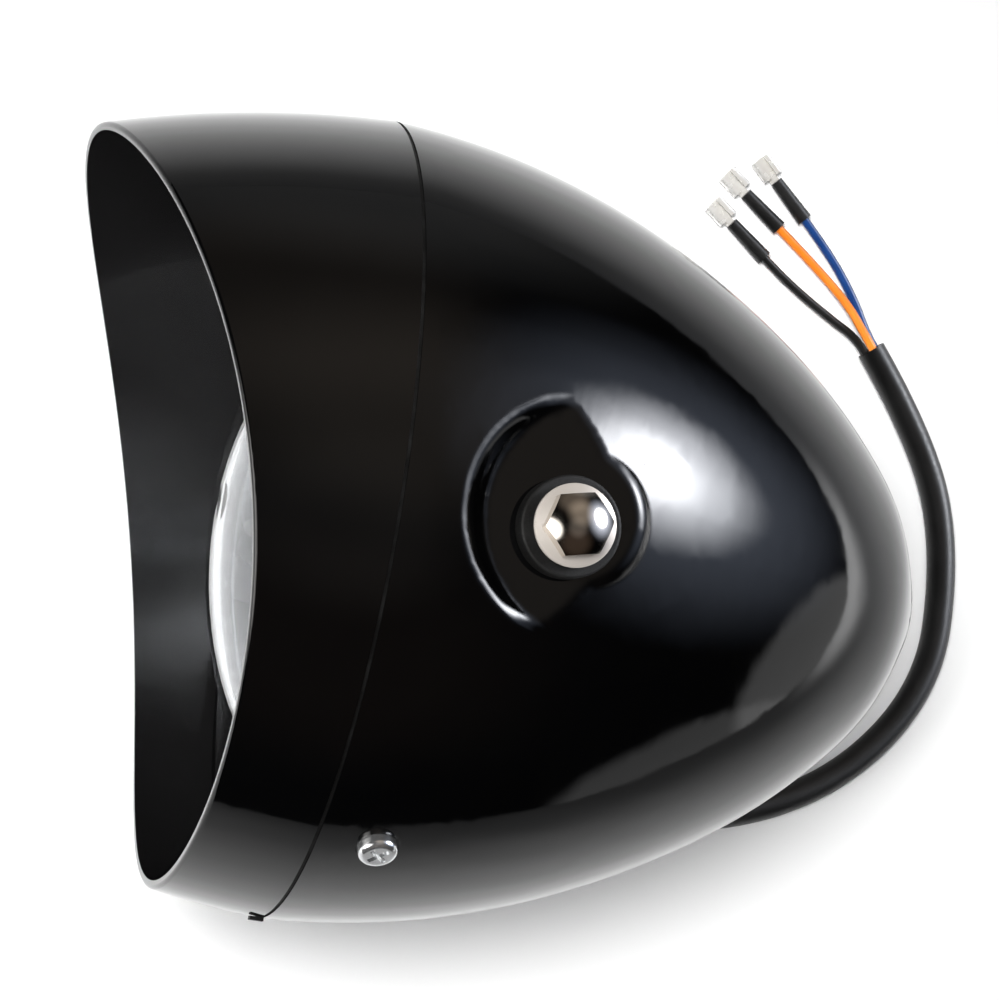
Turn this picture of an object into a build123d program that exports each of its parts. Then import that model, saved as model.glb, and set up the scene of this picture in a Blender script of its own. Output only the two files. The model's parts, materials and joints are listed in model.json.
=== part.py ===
from build123d import *
import math
import os

# Round motorcycle headlight with a peaked visor ring, lying on its right side.
# Frame: the lamp shines towards -X, +Y is up on the motorcycle (the visor's peak),
# and +Z is the rider's left. The pieces are drawn about the lamp's own axis; save() then
# lifts them, so that the origin is where the mounting bolts' axis crosses the lamp's
# upright middle plane. All sizes are millimetres.

# Seam between ring and shell
SEAM_RADIUS = 87.0
SEAM_GAP = 0.8
BOLT_BEHIND_SEAM = 34.8
BOLT_BELOW_AXIS = 2.5

# Shell: a bullet pressed from sheet, radius falling to nothing at its rounded end
SHELL_LENGTH = 135.0
SHELL_WALL = 1.8
SHELL_TAPER = 0.035
SHELL_POINT = 0.155
MOUTH_BORE_DEPTH = 4.0
MOUTH_CUT_MARGIN = 1.0

# Mount pads pressed into both sides of the shell: a flat with a round hollow's wall at its
# front, and a disc that stands proud at its rear
PAD_BEHIND_BOLT = 1.7
PAD_SINK = 2.2
PAD_RADIUS = 14.2
PAD_REAR_DRAFT = 38.0
PAD_BLANK_MARGIN = 1.0
PAD_RIM_BLEND = 2.0
PAD_RIM_SLOPE = 1.1
HOLLOW_BEHIND_BOLT = 7.1
HOLLOW_RADIUS = 24.4
HOLLOW_DRAFT = 30.0
FOOT_BLEND = 1.6
RIDGE_BLEND = 0.4
SHOULDER_BLEND = 3.4
BLEND_GROWTH = 1.2

# Tool that presses the pads: a net of rings and spokes, closer where the walls are
PRESS_MARGIN = 0.005
PRESS_LIFT = 0.5
PRESS_FLAT_RINGS = [1.5, 5.0, 8.5, 11.0]
PRESS_WALL_RING = 12.0
PRESS_RING_STEP = 0.7
PRESS_RING_COUNT = 21
PRESS_SPOKE_COUNT = 30
PRESS_TOLERANCE = 0.01
PRESS_TOOL_HEIGHT = 30.0

# Visor ring: one arc in section, one arc in side view for the scooped edge
RING_WALL = 1.8
RING_MIDDLE_LENGTH = 30.5
RING_MIDDLE_DROP = 4.1
RING_BLANK_MARGIN = 4.4
RING_BLANK_DROP = 14.0
VISOR_TOP_LENGTH = 61.6
VISOR_SIDE_LENGTH = 29.8
VISOR_BOTTOM_LENGTH = 23.5
VISOR_TOP_DROP = 12.6
VISOR_BOTTOM_DROP = 2.9
RIM_ROUNDING = 0.8
EDGE_RUNOUT = 14.0
HEM_LENGTH = 3.4
HEM_THICKNESS = 1.8
FLANGE_THICKNESS = 1.6
FLANGE_REAR = 2.1
FLANGE_OVERLAP = 4.4

# Joint seal between ring and shell
SEAL_SUNK = 0.6
SEAL_TAIL_LENGTH = 3.0
SEAL_TAIL_WIDTH = 2.2
SEAL_TAIL_RISE = 0.8
SEAL_TAIL_TURN = 176.0

# Lens and its rubber channel
LENS_APEX = 22.0
LENS_WALL = 3.0
LENS_RIM_INSET = 8.6
LENS_LIP = 3.0
LENS_SEAL_FRONT = 2.0
LENS_SEAL_LIP = 2.0
LENS_SEAL_CLEARANCE = 0.4

# Reflector bowl
REFLECTOR_FOCUS = 22.0
REFLECTOR_WALL = 1.2
REFLECTOR_RIM_WIDTH = 7.0
COLLAR_RADIUS = 21.0
COLLAR_LENGTH = 6.0
COLLAR_FLANGE_WIDTH = 6.0

# Spring clips that press the reflector and lens against the ring
CLIP_COUNT = 3
CLIP_FIRST_TURN = 60.0
CLIP_SHEET = 0.8
CLIP_ANGLE = 12.0
CLIP_FOOT = 4.5
CLIP_FINGER = 4.0
CLIP_CLEARANCE = 1.2

# Two-filament bulb
BULB_FLANGE_THICKNESS = 1.2
BULB_COLLAR_RADIUS = 10.5
BULB_COLLAR_LENGTH = 14.0
BULB_BACK_RADIUS = 11.0
BULB_BACK_LENGTH = 10.0
BLADE_WIDTH = 7.5
BLADE_THICKNESS = 0.8
BLADE_LENGTH = 8.0
BLADE_SPACING = 7.0
GLASS_RADIUS = 8.5
GLASS_WALL = 1.0
GLASS_LENGTH = 40.0
GLASS_SOCKET = 6.0
FILAMENT_RADIUS = 0.7
FILAMENT_LENGTH = 5.0
FILAMENT_POST_RADIUS = 0.45
FILAMENT_POST_OFFSET = 3.2
HIGH_BEAM_AHEAD = 9.0
LOW_BEAM_AHEAD = 20.0
SHIELD_RADIUS = 5.6
SHIELD_WALL = 0.5
SHIELD_LENGTH = 9.0
SHIELD_ANGLE = 165.0

# Bulb's retaining spring, boot and connector
SPRING_WIRE = 1.6
SPRING_INSET = 5.0
SPRING_LEG = 7.0
SPRING_GAP_ANGLE = 70.0
BOOT_WALL = 2.2
BOOT_OVERHANG = 1.5
BOOT_RIM_LENGTH = 4.0
BOOT_LENGTH = 19.0
BOOT_CLEARANCE = 0.4
BOOT_NECK_LENGTH = 4.0
CONNECTOR_WIDTH = 20.0
CONNECTOR_HEIGHT = 16.0
CONNECTOR_LENGTH = 21.0
CONNECTOR_ROUNDING = 1.2

# Mount hardware, the same on both sides
BOLT_DIAMETER = 8.0
BOLT_HOLE = 9.0
BOLT_SHANK = 20.0
BOLT_ACROSS_FLATS = 12.0
BOLT_HEAD_HEIGHT = 5.6
BOLT_HEAD_TURN = 13.0
BOLT_DOME_RADIUS = 10.0
BOLT_FLANGE_RADIUS = 8.3
BOLT_FLANGE_THICKNESS = 1.4
BOLT_FLANGE_EDGE = 0.7
SPRING_WASHER_RADIUS = 7.0
SPRING_WASHER_THICKNESS = 2.0
SPRING_WASHER_SPLIT = 0.7
SPRING_WASHER_SLANT = 25.0
SPRING_WASHER_TURN = 200.0
WASHER_BORE = 8.4
RUBBER_WASHER_RADIUS = 10.2
RUBBER_WASHER_THICKNESS = 5.0
RUBBER_WASHER_ROUNDING = 0.6
WELD_NUT_ACROSS_FLATS = 13.0
WELD_NUT_HEIGHT = 7.0
WELD_NUT_FLANGE_RADIUS = 10.5
WELD_NUT_FLANGE_THICKNESS = 1.4

# Screws that hold the ring at the bottom, with the tabs they screw into
SCREW_BEHIND_SEAM = 12.9
SCREW_FROM_BOTTOM = 36.6
SCREW_DIAMETER = 4.0
SCREW_HOLE = 4.6
SCREW_LENGTH = 9.0
SCREW_HEAD_RADIUS = 4.1
SCREW_HEAD_HEIGHT = 2.7
SCREW_HEAD_ROUNDING = 1.3
SCREW_CROSS_LENGTH = 4.8
SCREW_CROSS_WIDTH = 1.1
SCREW_CROSS_DEPTH = 1.5
SCREW_SEAT_CLEARANCE = 0.3
SCREW_SEAT_DEPTH = 0.2
TAB_SHEET = 1.4
TAB_GAP = 0.5
TAB_ANGLE = 8.0
TAB_PAST_SCREW = 6.0
FOOT_CLEARANCE = 1.6
TAB_NUT_ACROSS_FLATS = 7.0
TAB_NUT_HEIGHT = 3.2

# Hook that catches the shell's mouth at the top
HOOK_ANGLE = 14.0
HOOK_REACH = 9.0
HOOK_GAP = 0.4

# Rubber grommet where the cable leaves, hidden on the lower right side
GROMMET_BEHIND_SEAM = 68.0
GROMMET_TURN = -120.0
GROMMET_HOLE = 10.0
GROMMET_FLANGE_RADIUS = 7.6
GROMMET_FLANGE_RISE = 2.0
GROMMET_INNER_DEPTH = 4.2
GROMMET_NECK_RADIUS = 5.2
GROMMET_NECK_RISE = 5.0
GROMMET_ROUNDING = 0.7

# Cable, in the order it leaves the lamp
SHEATH_DIAMETER = 7.2
WIRE_DIAMETER = 2.2
WIRE_SPREAD = 1.5
SLEEVE_LENGTH = 12.0
SLEEVE_BACK_RADIUS = 2.0
SLEEVE_FRONT_RADIUS = 1.6
TERMINAL_LENGTH = 7.0
TERMINAL_NECK = 1.4
TERMINAL_NECK_WIDTH = 2.4
TERMINAL_WIDTH = 5.6
TERMINAL_HEIGHT = 2.2
TERMINAL_SHEET = 0.5
TERMINAL_SLOT = 1.8
TERMINAL_ROUNDING = 1.0
RUN_SHARE = 0.45


def bullet_radius(behind):
    """An ellipse, drawn in a little towards its end."""
    share = behind / SHELL_LENGTH
    return SEAM_RADIUS * math.sqrt(1 - share**2) * (1 - SHELL_TAPER * share - SHELL_POINT * share**2)


# Height of the pads, and of what is bolted on them, over the lamp's axis
PAD_HEIGHT = bullet_radius(BOLT_BEHIND_SEAM + PAD_BEHIND_BOLT) - PAD_SINK
BOLT_SEAT_HEIGHT = PAD_HEIGHT + RUBBER_WASHER_THICKNESS + SPRING_WASHER_THICKNESS

# The cable's route, chosen by hand: it drops to the table on which the lower bolt's head
# rests, and lies there in an open loop
TABLE_HEIGHT = -(BOLT_SEAT_HEIGHT + BOLT_FLANGE_THICKNESS + BOLT_HEAD_HEIGHT)
SHEATH_HEIGHT = TABLE_HEIGHT + SHEATH_DIAMETER / 2
LEAD_HEIGHT = TABLE_HEIGHT + SLEEVE_BACK_RADIUS
SHEATH_DROP = 14.0
SHEATH_ROUTE = [
    (65.7, -52.5, SHEATH_HEIGHT),
    (113.7, -41.0, SHEATH_HEIGHT),
    (142.7, -9.0, SHEATH_HEIGHT),
    (142.7, 28.0, SHEATH_HEIGHT),
    (132.7, 55.0, SHEATH_HEIGHT),
    (115.6, 75.8, SHEATH_HEIGHT),
]
LEAD_ROUTES = {
    "black": [(105.1, 81.4), (91.9, 88.8), (69.5, 105.4)],
    "orange": [(107.9, 86.2), (97.5, 95.2), (72.0, 113.4)],
    "blue": [(110.0, 87.6), (101.9, 98.2), (80.1, 118.8)],
}
LEAD_EXIT = 4.5
LEAD_SIDE = {"black": -1.0, "orange": 0.0, "blue": 1.0}
LEAD_RISE = {"black": -0.8, "orange": 1.0, "blue": -0.8}
INNER_LEAD_SPREAD = 2.6
INNER_LEAD_ROUTE = [(7.0, 0.0), (12.5, 7.0), (11.5, 18.0), (0.5, 32.0)]
INNER_LEAD_DROP = 17.0

# Worked out from the sizes above
SEAM_X = -BOLT_BEHIND_SEAM
PRESS_WALL_RINGS = [PRESS_WALL_RING + PRESS_RING_STEP * ring for ring in range(PRESS_RING_COUNT)]
RING_BLANK_LENGTH = VISOR_TOP_LENGTH + RING_BLANK_MARGIN
RING_REAR_X = SEAM_X - SEAM_GAP / 2
SHELL_FRONT_X = SEAM_X + SEAM_GAP / 2
MOUTH_RADIUS = SEAM_RADIUS - SHELL_WALL
HEM_OUTER_RADIUS = MOUTH_RADIUS - HEM_THICKNESS
HEM_INNER_RADIUS = HEM_OUTER_RADIUS - HEM_THICKNESS
FLANGE_REAR_X = SEAM_X + FLANGE_REAR
LENS_RIM_X = FLANGE_REAR_X + LENS_SEAL_FRONT
LENS_RIM_RADIUS = HEM_INNER_RADIUS - LENS_RIM_INSET
LENS_DOME_RADIUS = LENS_RIM_RADIUS - LENS_LIP
LENS_DOME_RISE = LENS_RIM_X - SEAM_X + LENS_APEX
LENS_RADIUS = (LENS_DOME_RADIUS**2 + LENS_DOME_RISE**2) / (2 * LENS_DOME_RISE)
LENS_CENTRE_X = SEAM_X - LENS_APEX + LENS_RADIUS
FLANGE_OPENING = LENS_RIM_RADIUS - FLANGE_OVERLAP
REFLECTOR_RIM_X = LENS_RIM_X + LENS_WALL
REFLECTOR_BACK_X = REFLECTOR_RIM_X + REFLECTOR_WALL
LENS_SEAL_RADIUS = LENS_RIM_RADIUS + LENS_SEAL_LIP
FOOT_INNER_RADIUS = LENS_SEAL_RADIUS + FOOT_CLEARANCE
REFLECTOR_BOWL_RADIUS = LENS_RIM_RADIUS - REFLECTOR_RIM_WIDTH
BOWL_END_X = REFLECTOR_BACK_X + REFLECTOR_BOWL_RADIUS**2 / (4 * REFLECTOR_FOCUS)
COLLAR_X = BOWL_END_X - COLLAR_RADIUS**2 / (4 * REFLECTOR_FOCUS)
BULB_SEAT_X = COLLAR_X + COLLAR_LENGTH
BULB_BACK_X = BULB_SEAT_X + BULB_FLANGE_THICKNESS
CONNECTOR_X = BULB_BACK_X + BULB_BACK_LENGTH
BLADE_PLACES = [
    (BLADE_SPACING, 0.0, BLADE_THICKNESS, BLADE_WIDTH),
    (-BLADE_SPACING, 0.0, BLADE_THICKNESS, BLADE_WIDTH),
    (0.0, CONNECTOR_HEIGHT / 2 - 2 * BLADE_THICKNESS, BLADE_WIDTH, BLADE_THICKNESS),
]
BULB_FLANGE_RADIUS = COLLAR_RADIUS
SPRING_RADIUS = BULB_FLANGE_RADIUS - SPRING_INSET
BOOT_RIM_RADIUS = COLLAR_RADIUS + COLLAR_FLANGE_WIDTH + BOOT_OVERHANG
BOOT_NECK_RADIUS = math.hypot(CONNECTOR_WIDTH, CONNECTOR_HEIGHT) / 2 + BOOT_CLEARANCE
SIDES = {"left": 1, "right": -1}

# Which end or face of a block or cylinder its position names
FROM_FRONT = (Align.MIN, Align.CENTER, Align.CENTER)
FROM_BELOW = (Align.CENTER, Align.CENTER, Align.MIN)
FROM_ABOVE = (Align.CENTER, Align.CENTER, Align.MAX)

# Length of the cutters for the holes that go right through a sheet or a nut
DRILL_LENGTH = 20.0

os.makedirs("parts", exist_ok=True)


def save(solid, name):
    placed = Pos(Y=BOLT_BELOW_AXIS) * solid
    placed.label = name
    export_step(placed, f"parts/{name}.step")


def on_bolt_axis(height):
    return Pos(0, -BOLT_BELOW_AXIS, height)


def turned(edges):
    """Solid made by turning a closed outline of X and radius about the lamp's axis."""
    return revolve(make_face(edges), Axis.X)


def turned_polygon(points):
    return turned(Polyline(*points, close=True).edges())


def turned_piece(points, spread, turn):
    """Part of a turned ring, spread degrees wide, centred at an angle from the top."""
    face = make_face(Polyline(*points, close=True).edges())
    return Rot(X=turn - spread / 2) * revolve(face, Axis.X, revolution_arc=spread)


def upright(points, height):
    """Solid made by turning an outline of radius and height about an upright axis."""
    outline = [(radius, 0, height + rise) for radius, rise in points]
    return revolve(make_face(Polyline(*outline, close=True).edges()), Axis.Z)


def mirrored(solid, side):
    return solid if SIDES[side] > 0 else mirror(solid, about=Plane.XY)


def bullet_slope(behind):
    step = SHELL_LENGTH * 1e-4
    return (bullet_radius(behind + step) - bullet_radius(behind - step)) / (2 * step)


def bullet_curve(inset):
    """The shell's section as a smooth curve, moved in from the outside by inset."""
    points = []
    for angle in range(0, 90, 10):
        behind = SHELL_LENGTH * math.sin(math.radians(angle))
        slope = bullet_slope(behind)
        length = math.hypot(1, slope)
        points.append((SEAM_X + behind + inset * slope / length, bullet_radius(behind) - inset / length))
    points.append((SEAM_X + SHELL_LENGTH - inset, 0))
    return Spline(*points, tangents=[(1, bullet_slope(0)), (0, -1)])


def bullet(inset):
    curve = bullet_curve(inset)
    first = curve @ 0
    front = Line((first.X, 0), first)
    axis = Line(curve @ 1, (first.X, 0))
    return turned([front, curve, axis])


def shell_plane(behind, turn):
    """Plane on the shell's outside: local X runs towards the rear, local Z points out."""
    slope = bullet_slope(behind)
    length = math.hypot(1, slope)
    up = Vector(0, math.cos(math.radians(turn)), math.sin(math.radians(turn)))
    out = (Vector(-slope, 0, 0) + up) / length
    along = (Vector(1, 0, 0) + up * slope) / length
    return Plane(Vector(SEAM_X + behind, 0, 0) + up * bullet_radius(behind), x_dir=along, z_dir=out)


def screw_turn(side):
    return SIDES[side] * (180 - SCREW_FROM_BOTTOM)


def screw_plane(side):
    return shell_plane(SCREW_BEHIND_SEAM, screw_turn(side))


def smooth_min(first, second, width):
    """The lower of two heights, rounded off where they differ by less than width."""
    near = max(width - abs(first - second), 0) / width
    return min(first, second) - near**2 * width / 4


def smooth_max(first, second, width):
    return -smooth_min(-first, -second, width)


def pressed_height(x, y):
    """Height of the pressing tool's underside over the lamp's axis.

    It is the flat with its rounded rim, or the hollow's wall rounded into the flat below it
    and into the shell's surface above it. Outside the pad it runs clear of the shell.
    """
    skin = math.sqrt(bullet_radius(x - SEAM_X) ** 2 - y**2)
    past_foot = math.hypot(x - HOLLOW_BEHIND_BOLT, y) - HOLLOW_RADIUS
    rise = smooth_max(0, past_foot / math.tan(math.radians(HOLLOW_DRAFT)), FOOT_BLEND)
    hollow = PAD_HEIGHT - PRESS_MARGIN + rise
    blend = min(SHOULDER_BLEND, RIDGE_BLEND + BLEND_GROWTH * rise)
    lift = PRESS_LIFT * max(0, hollow - skin - blend)
    sunk = smooth_min(skin, hollow, blend) + PRESS_MARGIN + lift
    past_rim = math.hypot(x - PAD_BEHIND_BOLT, y) - PAD_RADIUS
    flat = PAD_HEIGHT - smooth_max(0, past_rim * PAD_RIM_SLOPE, PAD_RIM_BLEND)
    return max(sunk, flat)


def net_point(radius, turn):
    x = radius * math.cos(turn)
    y = radius * math.sin(turn)
    return x, y, pressed_height(x, y)


def press_tool():
    """Solid over the left pad: one half from a net of smooth curves, and its mirror image.

    The net's innermost ring lies inside the bolt's hole.
    """
    radii = PRESS_FLAT_RINGS + PRESS_WALL_RINGS
    turns = [math.pi * spoke / PRESS_SPOKE_COUNT for spoke in range(PRESS_SPOKE_COUNT + 1)]
    spokes = []
    for turn in turns:
        spokes.append(Edge.make_spline([net_point(radius, turn) for radius in radii], parameters=radii))
    rings = []
    for radius in radii:
        rings.append(Edge.make_spline([net_point(radius, turn) for turn in turns], parameters=turns))
    underside = Face.make_gordon_surface(spokes, rings, tolerance=PRESS_TOLERANCE)
    half = extrude(underside, amount=PRESS_TOOL_HEIGHT, dir=(0, 0, 1))
    return half + mirror(half, about=Plane.XZ)


def pad_blank(inset):
    """Blunt cone that stands proud at the pad's rear, its wall moved in by inset."""
    draft = math.radians(PAD_REAR_DRAFT)
    reach = SEAM_RADIUS - PAD_HEIGHT + SHELL_WALL
    top = PAD_RADIUS - PAD_BLANK_MARGIN * math.tan(draft) - inset / math.cos(draft)
    foot = PAD_RADIUS + reach * math.tan(draft) - inset / math.cos(draft)
    outline = [(0, PAD_BLANK_MARGIN), (top, PAD_BLANK_MARGIN), (foot, -reach), (0, -reach)]
    return Pos(X=PAD_BEHIND_BOLT) * upright(outline, PAD_HEIGHT)


def make_shell():
    tool = press_tool()
    bolt_hole = on_bolt_axis(PAD_HEIGHT) * Cylinder(BOLT_HOLE / 2, DRILL_LENGTH)
    screw_hole = Cylinder(SCREW_HOLE / 2, DRILL_LENGTH)
    seat = Cylinder(SCREW_HEAD_RADIUS + SCREW_SEAT_CLEARANCE, DRILL_LENGTH, align=FROM_BELOW)
    screw_hole = screw_hole + Pos(Z=-SCREW_SEAT_DEPTH) * seat
    body = bullet(0)
    cavity = bullet(SHELL_WALL)
    for side in SIDES:
        body = body + mirrored(pad_blank(0), side)
        body = body - mirrored(tool, side)
        body = body - mirrored(bolt_hole, side)
        body = body - screw_plane(side) * screw_hole
        cavity = cavity + mirrored(pad_blank(SHELL_WALL), side)
        cavity = cavity - mirrored(Pos(Z=-SHELL_WALL) * tool, side)
    body = body - cavity
    clear = SEAM_RADIUS + MOUTH_CUT_MARGIN
    mouth = [(SEAM_X, 0), (SEAM_X, clear), (SHELL_FRONT_X, clear)]
    mouth += [(SHELL_FRONT_X, MOUTH_RADIUS), (SHELL_FRONT_X + MOUTH_BORE_DEPTH, MOUTH_RADIUS)]
    mouth += [(SHELL_FRONT_X + MOUTH_BORE_DEPTH, 0)]
    body = body - turned_polygon(mouth)
    grommet_plane = shell_plane(GROMMET_BEHIND_SEAM, GROMMET_TURN)
    return body - grommet_plane * Cylinder(GROMMET_HOLE / 2, DRILL_LENGTH)


def ring_blank(inset):
    """The ring before its edge is cut, filled to the axis."""
    arc = ThreePointArc(
        (RING_REAR_X, SEAM_RADIUS - inset),
        (SEAM_X - RING_MIDDLE_LENGTH, SEAM_RADIUS - RING_MIDDLE_DROP - inset),
        (SEAM_X - RING_BLANK_LENGTH, SEAM_RADIUS - RING_BLANK_DROP - inset),
    )
    front = Line(arc @ 1, (SEAM_X - RING_BLANK_LENGTH, 0))
    axis = Line(front @ 1, (RING_REAR_X, 0))
    rear = Line(axis @ 1, arc @ 0)
    return turned([arc, front, axis, rear])


def visor_cut():
    """Everything ahead of the scooped edge, which is one arc seen from the side."""
    reach = 2 * SEAM_RADIUS
    arc = ThreePointArc(
        (SEAM_X - VISOR_BOTTOM_LENGTH, VISOR_BOTTOM_DROP - SEAM_RADIUS),
        (SEAM_X - VISOR_SIDE_LENGTH, 0),
        (SEAM_X - VISOR_TOP_LENGTH, SEAM_RADIUS - VISOR_TOP_DROP),
    )
    below = arc @ 0 - (arc % 0) * EDGE_RUNOUT
    above = arc @ 1 + (arc % 1) * EDGE_RUNOUT
    outline = [Line(below, arc @ 0), arc, Line(arc @ 1, above)]
    outline += Polyline(above, (-reach, above.Y), (-reach, below.Y), below).edges()
    return extrude(make_face(outline), amount=reach, both=True)


def make_visor_ring():
    cut = visor_cut()
    wall = ring_blank(0) - ring_blank(RING_WALL) - cut
    rim_face = (wall.faces() - wall.faces().filter_by(GeomType.REVOLUTION)).sort_by(Axis.X)[0]
    wall = fillet(rim_face.edges(), RIM_ROUNDING)
    inside_wall = SEAM_RADIUS - RING_WALL / 2
    hem = [(RING_REAR_X - HEM_LENGTH, HEM_INNER_RADIUS), (RING_REAR_X - HEM_LENGTH, inside_wall)]
    hem += [(RING_REAR_X, inside_wall), (RING_REAR_X, HEM_OUTER_RADIUS)]
    hem += [(FLANGE_REAR_X, HEM_OUTER_RADIUS), (FLANGE_REAR_X, FLANGE_OPENING)]
    hem += [(FLANGE_REAR_X - FLANGE_THICKNESS, FLANGE_OPENING)]
    hem += [(FLANGE_REAR_X - FLANGE_THICKNESS, HEM_INNER_RADIUS)]
    return wall + turned_polygon(hem)


def make_joint_seal():
    fin_radius = SEAM_RADIUS - SEAL_SUNK
    points = [(RING_REAR_X, HEM_OUTER_RADIUS), (RING_REAR_X, fin_radius), (SHELL_FRONT_X, fin_radius)]
    points += [(SHELL_FRONT_X, MOUTH_RADIUS), (FLANGE_REAR_X, MOUTH_RADIUS)]
    points += [(FLANGE_REAR_X, HEM_OUTER_RADIUS)]
    seal = turned_polygon(points)
    low = (Align.MAX, Align.MIN, Align.CENTER)
    stem = Box(SEAM_GAP, 2 * SEAL_SUNK + SEAL_TAIL_RISE, SEAL_TAIL_WIDTH, align=low)
    lump = Box(SEAL_TAIL_LENGTH, SEAL_TAIL_RISE, SEAL_TAIL_WIDTH, align=low)
    tail = Pos(X=SHELL_FRONT_X, Y=fin_radius - SEAL_SUNK) * stem
    tail = tail + Pos(X=SHELL_FRONT_X, Y=SEAM_RADIUS) * lump
    return seal + Rot(X=SEAL_TAIL_TURN) * tail


def make_ring_hook():
    front = FLANGE_REAR_X
    back = front + HOOK_REACH
    outer = HEM_OUTER_RADIUS - TAB_SHEET
    catch = bullet_radius(back - SEAM_X) - SHELL_WALL - HOOK_GAP
    points = [(front, FOOT_INNER_RADIUS), (front, outer + TAB_SHEET), (back - TAB_SHEET, outer + TAB_SHEET)]
    points += [(back - TAB_SHEET, catch), (back, catch), (back, outer), (front + TAB_SHEET, outer)]
    points += [(front + TAB_SHEET, FOOT_INNER_RADIUS)]
    return turned_piece(points, HOOK_ANGLE, 0)


def make_ring_tab(side):
    front = FLANGE_REAR_X
    back = SEAM_X + SCREW_BEHIND_SEAM + TAB_PAST_SCREW
    front_radius = HEM_OUTER_RADIUS
    back_radius = bullet_radius(back - SEAM_X) - SHELL_WALL - TAB_GAP
    points = [(front, FOOT_INNER_RADIUS), (front, front_radius), (back, back_radius)]
    points += [(back, back_radius - TAB_SHEET), (front + TAB_SHEET, front_radius - TAB_SHEET)]
    points += [(front + TAB_SHEET, FOOT_INNER_RADIUS)]
    tab = turned_piece(points, TAB_ANGLE, screw_turn(side))
    return tab - screw_plane(side) * Cylinder(SCREW_DIAMETER / 2, DRILL_LENGTH)


def make_tab_nut(side, tab):
    hexagon = RegularPolygon(TAB_NUT_ACROSS_FLATS / 2, 6, major_radius=False)
    depth = SHELL_WALL + TAB_GAP + TAB_SHEET + TAB_NUT_HEIGHT
    block = extrude(hexagon - Circle(SCREW_DIAMETER / 2), TAB_NUT_HEIGHT + TAB_SHEET)
    nut = screw_plane(side) * Pos(Z=-depth) * block - tab
    return nut.solids().sort_by(SortBy.VOLUME)[-1]


def make_ring_screw(side):
    head = Cylinder(SCREW_HEAD_RADIUS, SCREW_HEAD_HEIGHT, align=FROM_BELOW)
    head = fillet(head.edges().sort_by(Axis.Z)[-1], SCREW_HEAD_ROUNDING)
    for angle in (0, 90):
        slot = Box(SCREW_CROSS_LENGTH, SCREW_CROSS_WIDTH, 2 * SCREW_CROSS_DEPTH)
        head = head - Pos(Z=SCREW_HEAD_HEIGHT) * Rot(Z=angle + 45) * slot
    shank = Cylinder(SCREW_DIAMETER / 2, SCREW_LENGTH, align=FROM_ABOVE)
    return screw_plane(side) * Pos(Z=-SCREW_SEAT_DEPTH) * (head + shank)


def lens_face_radius(sphere_radius, x):
    return math.sqrt(sphere_radius**2 - (LENS_CENTRE_X - x) ** 2)


def make_lens():
    front_x = LENS_CENTRE_X - LENS_RADIUS
    inner_radius = LENS_RADIUS - LENS_WALL
    back_x = REFLECTOR_RIM_X
    outer_end = (LENS_RIM_X, lens_face_radius(LENS_RADIUS, LENS_RIM_X))
    inner_end = (back_x, lens_face_radius(inner_radius, back_x))
    outer = RadiusArc((front_x, 0), outer_end, LENS_RADIUS)
    inner = RadiusArc((front_x + LENS_WALL, 0), inner_end, inner_radius)
    rim = Polyline(outer_end, (LENS_RIM_X, LENS_RIM_RADIUS), (back_x, LENS_RIM_RADIUS), inner_end)
    axis = Line((front_x, 0), (front_x + LENS_WALL, 0))
    return turned([outer, *rim.edges(), inner, axis])


def make_lens_seal():
    inner = lens_face_radius(LENS_RADIUS, LENS_RIM_X) + LENS_SEAL_CLEARANCE
    points = [(FLANGE_REAR_X, inner), (FLANGE_REAR_X, LENS_SEAL_RADIUS)]
    points += [(REFLECTOR_BACK_X, LENS_SEAL_RADIUS), (REFLECTOR_BACK_X, LENS_RIM_RADIUS)]
    points += [(LENS_RIM_X, LENS_RIM_RADIUS), (LENS_RIM_X, inner)]
    return turned_polygon(points)


def bowl_curve(wall):
    """Parabola from the rim to the bulb's collar; wall moves it out by the metal's thickness."""
    points = []
    steps = 6
    for step in range(steps + 1):
        radius = REFLECTOR_BOWL_RADIUS + (COLLAR_RADIUS - REFLECTOR_BOWL_RADIUS) * step / steps
        slope = math.atan2(radius, 2 * REFLECTOR_FOCUS)
        x = BOWL_END_X - radius**2 / (4 * REFLECTOR_FOCUS)
        points.append((x + wall * math.cos(slope), radius + wall * math.sin(slope)))
    return Spline(*points)


def make_reflector():
    inner = bowl_curve(0)
    outer = bowl_curve(REFLECTOR_WALL)
    collar_outer = COLLAR_RADIUS + REFLECTOR_WALL
    rim = Polyline(
        inner @ 0,
        (REFLECTOR_RIM_X, REFLECTOR_BOWL_RADIUS),
        (REFLECTOR_RIM_X, LENS_RIM_RADIUS),
        (REFLECTOR_BACK_X, LENS_RIM_RADIUS),
        (REFLECTOR_BACK_X, (outer @ 0).Y),
        outer @ 0,
    )
    collar = Polyline(
        outer @ 1,
        (BULB_SEAT_X - REFLECTOR_WALL, collar_outer),
        (BULB_SEAT_X - REFLECTOR_WALL, COLLAR_RADIUS + COLLAR_FLANGE_WIDTH),
        (BULB_SEAT_X, COLLAR_RADIUS + COLLAR_FLANGE_WIDTH),
        (BULB_SEAT_X, COLLAR_RADIUS - COLLAR_FLANGE_WIDTH),
        (BULB_SEAT_X - REFLECTOR_WALL, COLLAR_RADIUS - COLLAR_FLANGE_WIDTH),
        (BULB_SEAT_X - REFLECTOR_WALL, COLLAR_RADIUS),
        inner @ 1,
    )
    return turned([inner, *rim.edges(), outer, *collar.edges()])


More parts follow.
